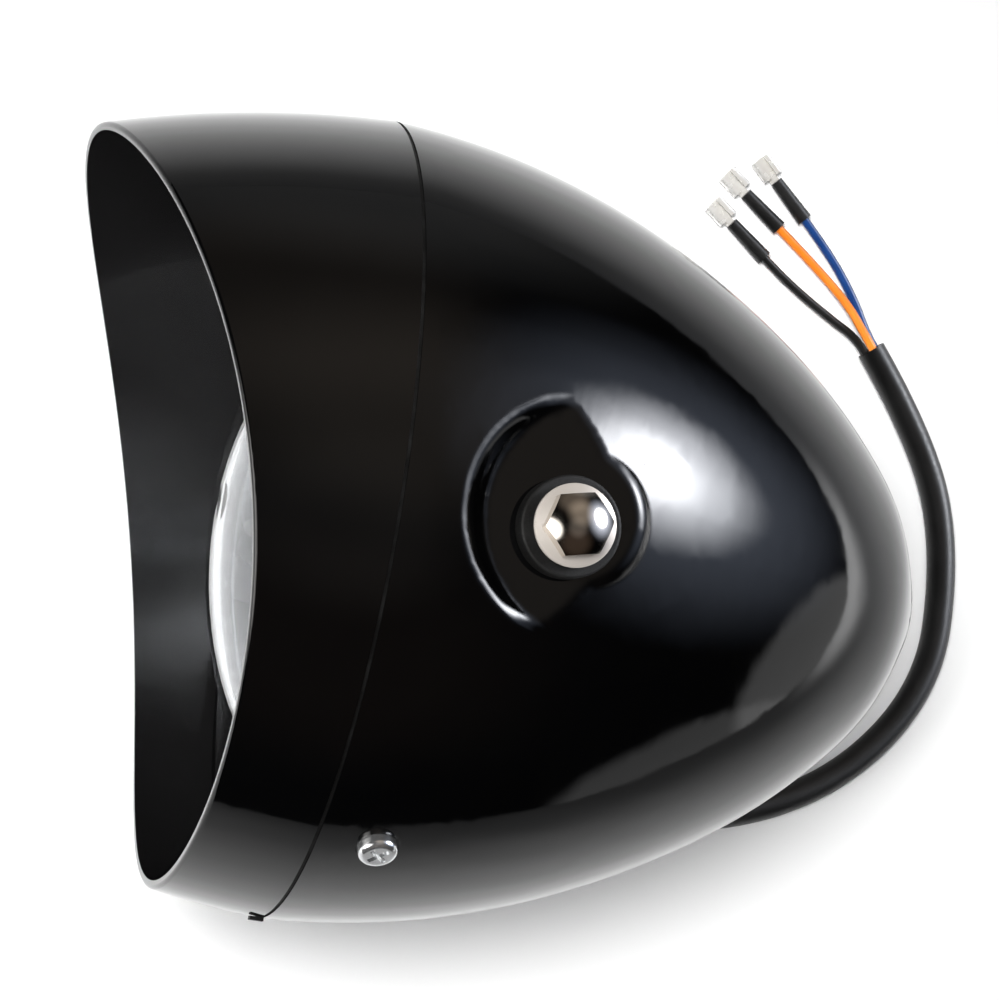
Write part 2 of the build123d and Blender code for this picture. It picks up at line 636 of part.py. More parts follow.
def make_lens_clip(turn):
    """Z-shaped spring: a foot on the ring's flange, a riser, and a finger on the reflector."""
    riser = LENS_SEAL_RADIUS + CLIP_CLEARANCE
    top = REFLECTOR_BACK_X
    foot = FLANGE_REAR_X
    points = [(foot, riser), (foot, riser + CLIP_FOOT)]
    points += [(foot + CLIP_SHEET, riser + CLIP_FOOT), (foot + CLIP_SHEET, riser + CLIP_SHEET)]
    points += [(top + CLIP_SHEET, riser + CLIP_SHEET), (top + CLIP_SHEET, LENS_RIM_RADIUS - CLIP_FINGER)]
    points += [(top, LENS_RIM_RADIUS - CLIP_FINGER), (top, riser)]
    return turned_piece(points, CLIP_ANGLE, turn)


def make_bulb_base():
    collar_front = BULB_SEAT_X - BULB_COLLAR_LENGTH
    points = [(collar_front, GLASS_RADIUS), (collar_front, BULB_COLLAR_RADIUS)]
    points += [(BULB_SEAT_X, BULB_COLLAR_RADIUS), (BULB_SEAT_X, BULB_FLANGE_RADIUS)]
    points += [(BULB_BACK_X, BULB_FLANGE_RADIUS), (BULB_BACK_X, BULB_BACK_RADIUS)]
    points += [(CONNECTOR_X, BULB_BACK_RADIUS), (CONNECTOR_X, 0)]
    points += [(collar_front + GLASS_SOCKET, 0), (collar_front + GLASS_SOCKET, GLASS_RADIUS)]
    base = turned_polygon(points)
    for across, up, wide, tall in BLADE_PLACES:
        blade = Box(BLADE_LENGTH, tall, wide, align=FROM_FRONT)
        base = base + Pos(CONNECTOR_X, up, across) * blade
    return base


def make_bulb_glass():
    back = BULB_SEAT_X - BULB_COLLAR_LENGTH + GLASS_SOCKET
    front = back - GLASS_LENGTH
    inner = GLASS_RADIUS - GLASS_WALL
    outer_arc = CenterArc((front + GLASS_RADIUS, 0), GLASS_RADIUS, 90, 90)
    inner_arc = CenterArc((front + GLASS_RADIUS, 0), inner, 90, 90)
    tip = Line((front, 0), (front + GLASS_WALL, 0))
    tube = Polyline((front + GLASS_RADIUS, GLASS_RADIUS), (back, GLASS_RADIUS), (back, inner),
                    (front + GLASS_RADIUS, inner))
    return turned([outer_arc, *tube.edges(), inner_arc, tip])


def rod(start, end, radius):
    line = Line(start, end)
    return sweep(Plane(origin=line @ 0, z_dir=line % 0) * Circle(radius), path=line)


def make_filaments():
    """Two coils, drawn as rods, each carried by a pair of posts from the bulb's base."""
    foot = BULB_SEAT_X - BULB_COLLAR_LENGTH + GLASS_SOCKET
    parts = []
    for ahead, reach in ((HIGH_BEAM_AHEAD, FILAMENT_POST_OFFSET), (LOW_BEAM_AHEAD, -FILAMENT_POST_OFFSET)):
        front = foot - ahead - FILAMENT_LENGTH
        back = foot - ahead
        coil = rod((front, 0, 0), (back, 0, 0), FILAMENT_RADIUS)
        for end, across in ((front, reach), (back, reach / 2)):
            post = rod((foot, 0, across), (end, 0, across), FILAMENT_POST_RADIUS)
            arm = rod((end, 0, across), (end, 0, 0), FILAMENT_POST_RADIUS)
            coil = coil + post + arm
        parts.append(coil)
    return parts[0] + parts[1]


def make_bulb_shield():
    """Half cup under the dipped-beam coil, on a post of its own."""
    foot = BULB_SEAT_X - BULB_COLLAR_LENGTH + GLASS_SOCKET
    front = foot - LOW_BEAM_AHEAD - SHIELD_LENGTH
    points = [(front, 0), (front, SHIELD_RADIUS), (front + SHIELD_LENGTH, SHIELD_RADIUS)]
    points += [(front + SHIELD_LENGTH, SHIELD_RADIUS - SHIELD_WALL)]
    points += [(front + SHIELD_WALL, SHIELD_RADIUS - SHIELD_WALL), (front + SHIELD_WALL, 0)]
    cup = turned_piece(points, SHIELD_ANGLE, 180)
    middle = SHIELD_RADIUS - SHIELD_WALL / 2
    return cup + rod((front + SHIELD_LENGTH / 2, -middle, 0), (foot, -middle, 0), SHIELD_WALL)


def make_bulb_spring():
    """Wire spring that presses the bulb's flange on its seat."""
    x = BULB_BACK_X + SPRING_WIRE / 2
    half = SPRING_GAP_ANGLE / 2
    bow = CenterArc((0, 0), SPRING_RADIUS, 90 + half, 360 - SPRING_GAP_ANGLE)
    start = bow @ 0
    finish = bow @ 1
    out = Vector(0, SPRING_LEG)
    path = Wire([Line(start + out, start), bow.edges()[0], Line(finish, finish + out)])
    plane = Plane(origin=(x, 0, 0), x_dir=(0, 0, -1), z_dir=(1, 0, 0))
    section = Plane(origin=path @ 0, z_dir=path % 0) * Circle(SPRING_WIRE / 2)
    return plane * sweep(section, path=path, transition=Transition.ROUND)


def make_bulb_boot():
    front = BULB_SEAT_X
    neck = front + BOOT_LENGTH - BOOT_NECK_LENGTH
    end = front + BOOT_LENGTH
    neck_outer = BOOT_NECK_RADIUS + BOOT_WALL
    points = [(front, BOOT_RIM_RADIUS - 2 * BOOT_WALL), (front, BOOT_RIM_RADIUS)]
    points += [(front + BOOT_RIM_LENGTH, BOOT_RIM_RADIUS), (neck, neck_outer), (end, neck_outer)]
    points += [(end, BOOT_NECK_RADIUS), (neck - BOOT_WALL / 2, BOOT_NECK_RADIUS)]
    points += [(front + BOOT_RIM_LENGTH - BOOT_WALL / 2, BOOT_RIM_RADIUS - 2 * BOOT_WALL)]
    return turned_polygon(points)


def make_connector(base):
    block = Box(CONNECTOR_LENGTH, CONNECTOR_HEIGHT, CONNECTOR_WIDTH, align=FROM_FRONT)
    block = fillet(block.edges().filter_by(Axis.X), CONNECTOR_ROUNDING)
    return Pos(X=CONNECTOR_X) * block - base


def make_mount_bolt():
    top = BOLT_FLANGE_THICKNESS + BOLT_HEAD_HEIGHT
    hexagon = RegularPolygon(BOLT_ACROSS_FLATS / 2, 6, major_radius=False, rotation=BOLT_HEAD_TURN)
    head = extrude(hexagon, top)
    head = head & Pos(Z=top - BOLT_DOME_RADIUS) * Sphere(BOLT_DOME_RADIUS)
    head = head + extrude(Circle(BOLT_ACROSS_FLATS / 2), BOLT_FLANGE_THICKNESS)
    flange = upright(
        [
            (0, 0),
            (BOLT_FLANGE_RADIUS, 0),
            (BOLT_FLANGE_RADIUS, BOLT_FLANGE_EDGE),
            (BOLT_ACROSS_FLATS / 2, BOLT_FLANGE_THICKNESS),
            (0, BOLT_FLANGE_THICKNESS),
        ],
        0,
    )
    shank = Cylinder(BOLT_DIAMETER / 2, BOLT_SHANK, align=FROM_ABOVE)
    return on_bolt_axis(BOLT_SEAT_HEIGHT) * (head + flange + shank)


def make_spring_washer():
    ring = Circle(SPRING_WASHER_RADIUS) - Circle(WASHER_BORE / 2)
    washer = extrude(ring, SPRING_WASHER_THICKNESS)
    split = Box(2 * SPRING_WASHER_RADIUS, SPRING_WASHER_SPLIT, 3 * SPRING_WASHER_THICKNESS)
    split = Pos(SPRING_WASHER_RADIUS, 0, SPRING_WASHER_THICKNESS / 2) * Rot(X=SPRING_WASHER_SLANT) * split
    washer = washer - Rot(Z=SPRING_WASHER_TURN) * split
    return on_bolt_axis(PAD_HEIGHT + RUBBER_WASHER_THICKNESS) * washer


def make_rubber_washer():
    ring = Circle(RUBBER_WASHER_RADIUS) - Circle(WASHER_BORE / 2)
    washer = extrude(ring, RUBBER_WASHER_THICKNESS)
    outer_top = washer.edges().group_by(Axis.Z)[-1].sort_by(SortBy.RADIUS)[-1]
    return on_bolt_axis(PAD_HEIGHT) * fillet(outer_top, RUBBER_WASHER_ROUNDING)


def make_weld_nut():
    top = PAD_HEIGHT - SHELL_WALL
    hexagon = RegularPolygon(WELD_NUT_ACROSS_FLATS / 2, 6, major_radius=False)
    body = extrude(hexagon, -WELD_NUT_HEIGHT)
    body = body + extrude(Circle(WELD_NUT_FLANGE_RADIUS), -WELD_NUT_FLANGE_THICKNESS)
    return on_bolt_axis(top) * (body - Cylinder(BOLT_DIAMETER / 2, DRILL_LENGTH))


def make_grommet(shell):
    plane = shell_plane(GROMMET_BEHIND_SEAM, GROMMET_TURN)
    flange = Cylinder(GROMMET_FLANGE_RADIUS, GROMMET_FLANGE_RISE + GROMMET_INNER_DEPTH, align=FROM_BELOW)
    flange = fillet(flange.edges().sort_by(Axis.Z)[-1], GROMMET_ROUNDING)
    neck = Cylinder(GROMMET_NECK_RADIUS, GROMMET_NECK_RISE + GROMMET_INNER_DEPTH, align=FROM_BELOW)
    plug = plane * Pos(Z=-GROMMET_INNER_DEPTH) * (flange + neck) - shell
    return plug.solids().sort_by(SortBy.VOLUME)[-1]


def cord_path(name, points, closest):
    """Straight runs joined by arcs as large as the runs allow; prints the arcs' radii."""
    radii = []
    for before, here, after in zip(points, points[1:], points[2:]):
        first = here - before
        second = after - here
        turn = math.radians(first.get_angle(second))
        radii.append(RUN_SHARE * min(first.length, second.length) / math.tan(turn / 2))
    print(name, "radii", [round(radius, 1) for radius in radii], "smallest wanted", round(closest, 1))
    return FilletPolyline(*points, radius=radii)


def cord(name, points, diameter):
    path = cord_path(name, points, 3 * diameter)
    section = Plane(origin=path @ 0, z_dir=path % 0) * Circle(diameter / 2)
    tube = sweep(section, path=path)
    expected = math.pi * diameter**2 / 4 * path.length
    print(name, "length", round(path.length, 1), "volume ratio", round(tube.volume / expected, 4))
    return tube


def sheath_points():
    plane = shell_plane(GROMMET_BEHIND_SEAM, GROMMET_TURN)
    start = plane.origin + plane.z_dir * GROMMET_NECK_RISE
    drop = start + plane.z_dir * SHEATH_DROP
    return [start, drop, *[Vector(*point) for point in SHEATH_ROUTE]]


def lead_points(colour):
    """A wire's route, and its terminal's tip, from the sheath's end face."""
    end = Vector(*SHEATH_ROUTE[-1])
    heading = (end - Vector(*SHEATH_ROUTE[-2])).normalized()
    across = heading.cross(Vector(0, 0, 1))
    start = end + across * LEAD_SIDE[colour] * WIRE_SPREAD + Vector(0, 0, LEAD_RISE[colour] * WIRE_SPREAD)
    clear = start + heading * LEAD_EXIT
    first, last, tip = [Vector(x, y, LEAD_HEIGHT) for x, y in LEAD_ROUTES[colour]]
    first = Vector(first.X, first.Y, (start.Z + LEAD_HEIGHT) / 2)
    heading = (tip - last).normalized()
    wire_end = tip - heading * (SLEEVE_LENGTH + TERMINAL_LENGTH)
    return [start, clear, first, last, wire_end], heading


def make_sleeve(wire_end, heading):
    sleeve = loft([Circle(SLEEVE_BACK_RADIUS), Pos(Z=SLEEVE_LENGTH) * Circle(SLEEVE_FRONT_RADIUS)])
    return Plane(origin=wire_end, z_dir=heading) * sleeve


def make_terminal(wire_end, heading):
    """Receptacle folded from sheet: a neck, then a flat box open along the top."""
    section = RectangleRounded(TERMINAL_WIDTH, TERMINAL_HEIGHT, TERMINAL_ROUNDING)
    inside = RectangleRounded(
        TERMINAL_WIDTH - 2 * TERMINAL_SHEET,
        TERMINAL_HEIGHT - 2 * TERMINAL_SHEET,
        TERMINAL_ROUNDING - TERMINAL_SHEET,
    )
    slot = Pos(Y=TERMINAL_HEIGHT / 2) * Rectangle(TERMINAL_SLOT, TERMINAL_HEIGHT)
    box = extrude(section - inside - slot, TERMINAL_LENGTH - TERMINAL_NECK)
    floor = -(TERMINAL_HEIGHT - TERMINAL_SHEET) / 2
    neck = Box(TERMINAL_NECK_WIDTH, TERMINAL_SHEET, 2 * TERMINAL_NECK, align=FROM_BELOW)
    terminal = Pos(Z=TERMINAL_NECK) * box + Pos(Y=floor) * neck
    foot = wire_end + heading * SLEEVE_LENGTH
    across = Vector(0, 0, 1).cross(heading)
    return Plane(origin=foot, x_dir=across, z_dir=heading) * terminal


def inner_lead_points(side):
    """From the connector's back, round inside the shell, to the grommet's inner face."""
    plane = shell_plane(GROMMET_BEHIND_SEAM, GROMMET_TURN)
    out = Vector(0, math.cos(math.radians(GROMMET_TURN)), math.sin(math.radians(GROMMET_TURN)))
    start = Vector(CONNECTOR_X + CONNECTOR_LENGTH, 0, 0)
    inside = plane.origin - plane.z_dir * GROMMET_INNER_DEPTH
    points = [start]
    points += [start + Vector(back, 0, 0) + out * distance for back, distance in INNER_LEAD_ROUTE]
    points += [inside - plane.z_dir * INNER_LEAD_DROP, inside]
    shift = plane.y_dir * side * INNER_LEAD_SPREAD
    return [point + shift for point in points]


def build():
    shell = make_shell()
    save(shell, "shell")
    save(make_visor_ring(), "visor_ring")
    save(make_joint_seal(), "joint_seal")
    save(make_ring_hook(), "ring_hook")
    for side in SIDES:
        tab = make_ring_tab(side)
        save(tab, f"ring_tab_{side}")
        save(make_tab_nut(side, tab), f"tab_nut_{side}")
        save(make_ring_screw(side), f"ring_screw_{side}")
        save(mirrored(make_mount_bolt(), side), f"mount_bolt_{side}")
        save(mirrored(make_spring_washer(), side), f"spring_washer_{side}")
        save(mirrored(make_rubber_washer(), side), f"rubber_washer_{side}")
        save(mirrored(make_weld_nut(), side), f"weld_nut_{side}")
    save(make_lens(), "lens")
    save(make_lens_seal(), "lens_seal")
    save(make_reflector(), "reflector")
    for index in range(CLIP_COUNT):
        save(make_lens_clip(CLIP_FIRST_TURN + index * 360 / CLIP_COUNT), f"lens_clip_{index + 1}")
    base = make_bulb_base()
    save(base, "bulb_base")
    save(make_bulb_glass(), "bulb_glass")
    save(make_filaments(), "bulb_filaments")
    save(make_bulb_shield(), "bulb_shield")
    save(make_bulb_spring(), "bulb_spring")
    save(make_bulb_boot(), "bulb_boot")
    save(make_connector(base), "bulb_connector")
    save(make_grommet(shell), "cable_grommet")
    save(cord("sheath", sheath_points(), SHEATH_DIAMETER), "cable_sheath")
    for colour in LEAD_ROUTES:
        points, heading = lead_points(colour)
        save(cord(f"wire {colour}", points, WIRE_DIAMETER), f"wire_{colour}")
        save(make_sleeve(points[-1], heading), f"sleeve_{colour}")
        save(make_terminal(points[-1], heading), f"terminal_{colour}")
        inner = inner_lead_points(LEAD_SIDE[colour])
        save(cord(f"inner lead {colour}", inner, WIRE_DIAMETER), f"inner_lead_{colour}")


build()
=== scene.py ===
"""Looks of the round motorcycle headlight: cords, materials, table, light and camera."""

import json
import math

import bpy
from mathutils import Matrix, Vector


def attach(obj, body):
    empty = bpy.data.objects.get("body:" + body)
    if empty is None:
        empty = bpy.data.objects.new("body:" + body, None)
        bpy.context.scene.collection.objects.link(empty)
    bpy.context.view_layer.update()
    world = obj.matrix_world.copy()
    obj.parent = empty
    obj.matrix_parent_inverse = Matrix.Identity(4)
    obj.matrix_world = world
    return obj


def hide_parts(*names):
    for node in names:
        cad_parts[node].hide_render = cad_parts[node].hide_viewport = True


MM = 0.001

# Camera, as fitted to the photograph: roll in degrees, lens and sensor in millimetres
CAMERA_PLACE = Vector((-172.6, -80.1, 756.9)) * MM
CAMERA_AIM = Vector((4.8, 13.1, 0.0)) * MM
CAMERA_ROLL = 8.4
CAMERA_LENS = 128.52
CAMERA_SENSOR = 36.0

# The lamp's own axis lies this far above the bolts' axis
LAMP_AXIS_HEIGHT = 2.5 * MM

# The heads of the mounting bolts are polished above their flanges
BOLT_FLANGE_TOP = 88.22 * MM
BOLT_FLANGE_BLEND = 0.1 * MM

# The pressed pads on the sides of the shell start here, and their edges are softened by this radius
PAD_FRONT = -22.0 * MM
PAD_FRONT_BLEND = 5.0 * MM
PAD_EDGE_RADIUS = 1.2 * MM

# Cable, with the same routes as its CAD tubes, in millimetres
SHEATH_DIAMETER = 7.2
SHEATH_ROUTE = [
    (35.29, -35.21, -65.31),
    (41.15, -41.57, -76.33),
    (65.7, -50.0, -90.22),
    (113.7, -38.5, -90.22),
    (142.7, -6.5, -90.22),
    (142.7, 30.5, -90.22),
    (132.7, 57.5, -90.22),
    (115.6, 78.3, -90.22),
]
WIRE_DIAMETER = 2.2
WIRE_ROUTES = {
    "black": [
        (114.44, 77.35, -91.42),
        (111.58, 80.82, -91.42),
        (105.1, 83.9, -91.62),
        (91.9, 91.3, -91.82),
        (84.77, 96.59, -91.82),
    ],
    "orange": [
        (115.6, 78.3, -88.72),
        (112.74, 81.78, -88.72),
        (107.9, 88.7, -90.27),
        (97.5, 97.7, -91.82),
        (87.47, 104.86, -91.82),
    ],
    "blue": [
        (116.76, 79.25, -91.42),
        (113.9, 82.73, -91.42),
        (110.0, 90.1, -91.62),
        (101.9, 100.7, -91.82),
        (93.91, 108.25, -91.82),
    ],
}

# Fineness of a cord's mesh, around it and along it, as Blender counts them
CORD_BEVEL_RESOLUTION = 6
CORD_ROUTE_RESOLUTION = 16

# Materials: tones are linear, a pair holds the two ends of a range, and patterns are counted per metre

# Most of a noise pattern lies in this range
NOISE_RANGE = (0.3, 0.7)

# Black enamel
PAINT_TONES = ((0.0007, 0.0007, 0.0008), (0.0013, 0.0013, 0.0014))
PAINT_ROUGHNESS = (0.045, 0.075)
PAINT_IOR = 1.5
PAINT_WAVE_HEIGHT = 0.002 * MM
PAINT_PEEL_HEIGHT = 0.0022 * MM
PAINT_EDGE_SAMPLES = 4

# Coat of the enamel's inner side: it is full where the normal's outward share is below the first value
# of the range, and ends at the second
INSIDE_FACING = (-0.4, 0.0)
INSIDE_TONE = (0.008, 0.0078, 0.008)
INSIDE_ADDED_ROUGHNESS = 0.05

# Dust on the enamel: a cell has a speck where its random number is past the range, and the speck's
# radius is a share of the cell
DUST_CELLS = 95.0
DUST_CHOICE = (0.86, 0.89)
DUST_RADIUS = (0.012, 0.028)
DUST_TONE = (0.16, 0.16, 0.16)
DUST_ADDED_ROUGHNESS = 0.4

# Matte rubber with a faint bloom
RUBBER_TONES = ((0.003, 0.003, 0.003), (0.009, 0.009, 0.009))
RUBBER_ROUGHNESS = (0.55, 0.75)
RUBBER_BLOOM_RANGE = (0.35, 0.75)
RUBBER_GRAIN_HEIGHT = 0.03 * MM

# Nickel plate of the mounting bolts: polished heads on satin flanges
NICKEL_TONES = ((0.66, 0.61, 0.55), (0.74, 0.69, 0.63))
NICKEL_ROUGHNESS = (0.10, 0.14)
SATIN_TONE = (0.50, 0.46, 0.42)
SATIN_ADDED_ROUGHNESS = 0.28
SATIN_DIFFUSE_SHARE = 0.5
SATIN_GRAIN_HEIGHT = 0.02 * MM

# Reflector
REFLECTOR_TONES = ((0.86, 0.87, 0.88), (0.92, 0.93, 0.94))
REFLECTOR_ROUGHNESS = (0.20, 0.28)
REFLECTOR_WAVE_HEIGHT = 0.1 * MM

# Clear glass
GLASS_IOR = 1.5
GLASS_ROUGHNESS = (0.002, 0.008)
GLASS_SMEAR_RANGE = (0.3, 0.8)
GLASSES = {
    "clear_glass": dict(tint=(0.91, 0.935, 0.97), ripple=0.02 * MM),
    "bulb_glass": dict(tint=(0.99, 0.99, 0.99), ripple=0.005 * MM),
}

# Plated and bare metals; the patterns of tone and gloss are so many times coarser than the grain
METAL_GRAIN_HEIGHT = 0.01 * MM
METAL_TONE_COARSENESS = 14
METAL_GLOSS_COARSENESS = 5
METALS = {
    "zinc_sheet": dict(
        tones=((0.50, 0.51, 0.53), (0.62, 0.63, 0.64)),
        roughness=(0.25, 0.42),
        grain=900.0,
    ),
    "zinc_screw": dict(
        tones=((0.72, 0.73, 0.74), (0.82, 0.83, 0.84)),
        roughness=(0.10, 0.20),
        grain=2600.0,
        metallic=0.93,
    ),
    "black_steel": dict(
        tones=((0.035, 0.033, 0.032), (0.07, 0.066, 0.062)),
        roughness=(0.30, 0.50),
        grain=2200.0,
    ),
    "bulb_metal": dict(
        tones=((0.55, 0.53, 0.48), (0.66, 0.63, 0.57)),
        roughness=(0.22, 0.38),
        grain=1500.0,
    ),
    "tungsten": dict(
        tones=((0.32, 0.31, 0.30), (0.42, 0.41, 0.40)),
        roughness=(0.35, 0.50),
        grain=5000.0,
    ),
    "spring_steel": dict(
        tones=((0.42, 0.42, 0.43), (0.56, 0.56, 0.57)),
        roughness=(0.20, 0.36),
        grain=1800.0,
    ),
    "tinned_brass": dict(
        tones=((0.84, 0.82, 0.78), (0.93, 0.92, 0.89)),
        roughness=(0.14, 0.30),
        grain=2200.0,
        metallic=0.5,
    ),
}

# Plastics, with the height of their skin; the pattern of tone is so many times coarser than the grain
PLASTIC_TONE_COARSENESS = 12
PLASTICS = {
    "black_plastic": dict(
        tones=((0.010, 0.010, 0.011), (0.018, 0.018, 0.019)),
        roughness=(0.35, 0.50),
        grain=1500.0,
        skin=0.02 * MM,
    ),
    "black_sheath": dict(
        tones=((0.004, 0.004, 0.004), (0.008, 0.008, 0.008)),
        roughness=(0.36, 0.50),
        grain=1300.0,
        skin=0.03 * MM,
    ),
    "black_wire": dict(
        tones=((0.006, 0.006, 0.006), (0.012, 0.012, 0.012)),
        roughness=(0.32, 0.45),
        grain=1800.0,
        skin=0.01 * MM,
    ),
    "orange_wire": dict(
        tones=((0.86, 0.21, 0.015), (0.93, 0.27, 0.03)),
        roughness=(0.30, 0.42),
        grain=1800.0,
        skin=0.01 * MM,
    ),
    "blue_wire": dict(
        tones=((0.004, 0.034, 0.15), (0.008, 0.048, 0.20)),
        roughness=(0.30, 0.42),
        grain=1800.0,
        skin=0.01 * MM,
    ),
    "black_sleeve": dict(
        tones=((0.006, 0.006, 0.006), (0.014, 0.014, 0.014)),
        roughness=(0.30, 0.50),
        grain=1500.0,
        skin=0.02 * MM,
    ),
}

# Pale round table
TABLE_HEIGHT = -93.82 * MM
TABLE_RADIUS = 1.05
TABLE_SIDES = 128
TABLE_TONES = ((0.84, 0.84, 0.84), (0.87, 0.87, 0.87))
TABLE_ROUGHNESS = 0.7
TABLE_SPECULAR = 0.2

# Studio as shiny surfaces mirror it: soft round lights, each with its direction and the angles from its
# middle where it starts and stops falling off, all in degrees
STUDIO_GLOWS = [
    # Softbox past the tip: core, body and haze
    dict(azimuth=26.6, elevation=30.6, inner=2.0, outer=12.0, radiance=15.0, tint=(0.97, 0.98, 1.0)),
    dict(azimuth=25.2, elevation=28.5, inner=2.0, outer=20.5, radiance=19.5, tint=(0.93, 0.95, 1.0)),
    dict(azimuth=22.5, elevation=28.5, inner=10.0, outer=41.0, radiance=1.2, tint=(0.70, 0.79, 1.0)),
    # Softbox in front of the lens: lower and upper half
    dict(azimuth=-166.0, elevation=20.0, inner=16.0, outer=28.0, radiance=2.4, tint=(1.0, 0.98, 0.95)),
    dict(azimuth=-160.0, elevation=34.0, inner=16.0, outer=26.0, radiance=2.4, tint=(1.0, 0.98, 0.95)),
    # White boards past the edge of the table, which hides their lower parts
    dict(azimuth=-10.0, elevation=-12.0, inner=17.0, outer=20.0, radiance=0.7, tint=(1.0, 1.0, 1.0)),
    dict(azimuth=-36.0, elevation=-14.0, inner=14.0, outer=18.0, radiance=0.5, tint=(1.0, 1.0, 1.0)),
    # Dim walls and ceiling
    dict(azimuth=75.0, elevation=60.0, inner=10.0, outer=40.0, radiance=0.24, tint=(1.0, 0.86, 0.72)),
    dict(azimuth=85.0, elevation=-8.0, inner=10.0, outer=35.0, radiance=0.20, tint=(1.0, 1.0, 1.0)),
    dict(azimuth=-60.0, elevation=84.0, inner=10.0, outer=30.0, radiance=0.10, tint=(1.0, 0.90, 0.82)),
    dict(azimuth=100.0, elevation=32.0, inner=15.0, outer=40.0, radiance=0.12, tint=(1.0, 0.84, 0.70)),
    dict(azimuth=-80.0, elevation=48.0, inner=15.0, outer=45.0, radiance=0.05, tint=(1.0, 0.72, 0.55)),
]
BACKDROP_TONE = (0.82, 0.82, 0.82)

# Spots that light the table: watts, spread in degrees, soft share of the spread, and radius of the lamp
TABLE_SPOTS = {
    "main_pool": dict(
        place=(-0.50, 0.08, 1.40), aim=(0.05, 0.05, -0.09), energy=155.0, spread=28.0, blend=0.8, radius=0.28
    ),
    "rear_pool": dict(
        place=(0.95, 0.10, 1.20), aim=(0.95, 0.10, -0.09), energy=200.0, spread=35.0, blend=0.9, radius=0.1
    ),
}

# Square panels that soften the shadows and light the inside of the visor: watts and width
SOFT_PANELS = {
    "fill_panel": dict(place=(0.0, 0.0, 2.0), aim=(0.0, 0.0, 0.0), energy=9.0, width=1.5),
    "front_panel": dict(place=(-0.80, -0.50, 0.20), aim=(-0.07, 0.03, 0.0), energy=9.0, width=0.4),
}

bpy.ops.wm.read_factory_settings(use_empty=True)
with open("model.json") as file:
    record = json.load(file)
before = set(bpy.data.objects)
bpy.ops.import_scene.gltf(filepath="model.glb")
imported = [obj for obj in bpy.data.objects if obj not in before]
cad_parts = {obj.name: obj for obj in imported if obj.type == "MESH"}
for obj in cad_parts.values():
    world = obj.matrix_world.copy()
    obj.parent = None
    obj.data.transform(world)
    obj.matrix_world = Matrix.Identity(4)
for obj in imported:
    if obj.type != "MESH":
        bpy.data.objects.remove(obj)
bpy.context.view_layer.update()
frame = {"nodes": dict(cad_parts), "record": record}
nodes = frame["nodes"]


class Shading:
    """Short calls for a material's or the world's node tree."""

    # Places of the factor and the two colours on Blender's mix node, and of its mixed colour
    MIX_INPUTS = (0, 6, 7)
    MIX_OUTPUT = 2

    def __init__(self, tree):
        self.tree = tree
        tree.nodes.clear()

    def fill(self, socket, value):
        """Link a value that comes from another node, and set any other."""
        if isinstance(value, bpy.types.NodeSocket):
            self.tree.links.new(value, socket)
        elif socket.type == "RGBA":
            socket.default_value = (*value, 1.0)
        else:
            socket.default_value = value

    def add(self, kind, values=None, **settings):
        made = self.tree.nodes.new(kind)
        for name, value in settings.items():
            setattr(made, name, value)
        for name, value in (values or {}).items():
            self.fill(made.inputs[name], value)
        return made

    def place(self):
        """Coordinates in the shared frame, in metres."""
        return self.add("ShaderNodeTexCoord").outputs["Object"]

    def axis(self, place, name):
        return self.add("ShaderNodeSeparateXYZ", {"Vector": place}).outputs[name]

    def noise(self, place, scale, detail):
        values = {"Vector": place, "Scale": scale, "Detail": detail}
        return self.add("ShaderNodeTexNoise", values).outputs["Fac"]

    def ramp(self, factor, low, high, start=0.0, end=1.0):
        """Value that goes smoothly from start to end while factor goes from low to high."""
        values = {"Value": factor, "From Min": low, "From Max": high, "To Min": start, "To Max": end}
        return self.add("ShaderNodeMapRange", values, interpolation_type="SMOOTHSTEP").outputs["Result"]

    def spread(self, noise, start=0.0, end=1.0, over=NOISE_RANGE):
        """Noise pattern spread from start to end."""
        return self.ramp(noise, *over, start, end)

    def math(self, operation, first, second=0.0):
        return self.add("ShaderNodeMath", {0: first, 1: second}, operation=operation).outputs["Value"]

    def vector(self, operation, first, second=(0.0, 0.0, 0.0), output="Vector"):
        made = self.add("ShaderNodeVectorMath", {0: first, 1: second}, operation=operation)
        return made.outputs[output]

    def mix(self, factor, first, second, blend="MIX"):
        values = dict(zip(self.MIX_INPUTS, (factor, first, second)))
        return self.add("ShaderNodeMix", values, data_type="RGBA", blend_type=blend).outputs[self.MIX_OUTPUT]

    def bump(self, height, distance, strength, normal=None):
        values = {"Height": height, "Distance": distance, "Strength": strength}
        if normal:
            values["Normal"] = normal
        return self.add("ShaderNodeBump", values).outputs["Normal"]

    def inward(self, place):
        """One where the surface faces the lamp's axis, nothing where it faces away."""
        outward = self.vector("SUBTRACT", place, (0.0, LAMP_AXIS_HEIGHT, 0.0))
        outward = self.vector("MULTIPLY", outward, (0.0, 1.0, 1.0))
        outward = self.vector("NORMALIZE", outward)
        normal = self.add("ShaderNodeNewGeometry").outputs["Normal"]
        outward_share = self.vector("DOT_PRODUCT", normal, outward, output="Value")
        return self.ramp(outward_share, *INSIDE_FACING, start=1.0, end=0.0)

    def surface(self, values):
        """The material's shader, with its output."""
        shader = self.add("ShaderNodeBsdfPrincipled", values)
        self.add("ShaderNodeOutputMaterial", {"Surface": shader.outputs["BSDF"]})


def new_material(name):
    made = bpy.data.materials.new(name)
    made.use_nodes = True
    return made, Shading(made.node_tree)


